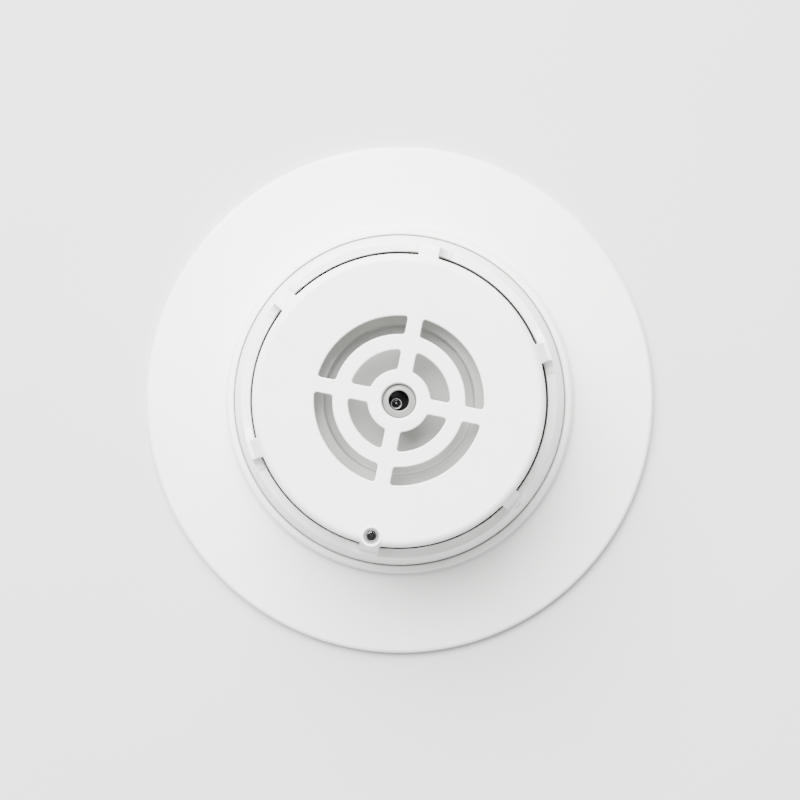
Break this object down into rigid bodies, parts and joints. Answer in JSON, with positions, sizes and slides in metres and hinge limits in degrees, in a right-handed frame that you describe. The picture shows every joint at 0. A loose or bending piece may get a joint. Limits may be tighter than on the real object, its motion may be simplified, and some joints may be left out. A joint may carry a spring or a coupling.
{
  "type": "heat detector",
  "caption": "Ceiling heat detector: round head with a spoked grille over a central sensor, twist-locked into a wide flanged base.",
  "frame": {"origin": "centre of the base's flat mounting face, on the axis of the head", "axes": "+Z points away from the mounting surface into the room; the status lamp is on the -Y side"},
  "size_m": [0.152, 0.152, 0.0444],
  "materials": {
    "white_plastic": "moulded satin white ABS",
    "plated_steel": "zinc plated",
    "spring_bronze": "nickel flashed bronze",
    "tinned_brass": "tin plated",
    "green_laminate": "solder mask over glass laminate",
    "black_epoxy": "moulded epoxy",
    "tinned_wire": "bright tinned",
    "can_sleeve": "shrunk film sleeve",
    "tan_ceramic": "sintered ceramic",
    "blue_epoxy": "dipped epoxy",
    "clear_glass": "drawn glass tube",
    "black_plastic": "moulded fine-grained black",
    "grey_plastic": "moulded satin light grey",
    "glossy_bead": "glossy dipped epoxy",
    "clear_lens": "cast clear epoxy",
    "bezel_grey": "moulded satin grey"
  },
  "bodies": {
    "base": {"base_body": "white_plastic", "captive_nuts": "plated_steel", "contact_springs": "spring_bronze", "clamp_plates": "plated_steel", "terminal_screws": "plated_steel"},
    "head": {"rear_chassis": "white_plastic", "contact_blades": "tinned_brass", "blade_rivets": "tinned_brass", "cover_screws": "plated_steel", "circuit_board": "green_laminate", "control_chips": "black_epoxy", "chip_legs": "tinned_wire", "electrolytic_capacitors": "can_sleeve", "chip_resistors": "black_epoxy", "chip_capacitors": "tan_ceramic", "bridge_diodes": "black_epoxy", "transistors": "black_epoxy", "surge_varistor": "blue_epoxy", "reed_switch": "clear_glass", "inner_carrier": "black_plastic", "air_baffle": "white_plastic", "sensor_sleeve": "grey_plastic", "thermistor_bead": "glossy_bead", "thermistor_leads": "tinned_wire", "reference_thermistor": "glossy_bead", "status_lamp": "clear_lens", "lamp_leads": "tinned_wire", "lamp_bezel": "bezel_grey", "front_cover": "white_plastic"}
  },
  "joints": [
    {"name": "head_twist", "type": "hinge", "parent": "base", "child": "head", "pos_m": [0, 0, 0.005], "axis": [0, 0, 1], "range_deg": [0, 20]}
  ]
}
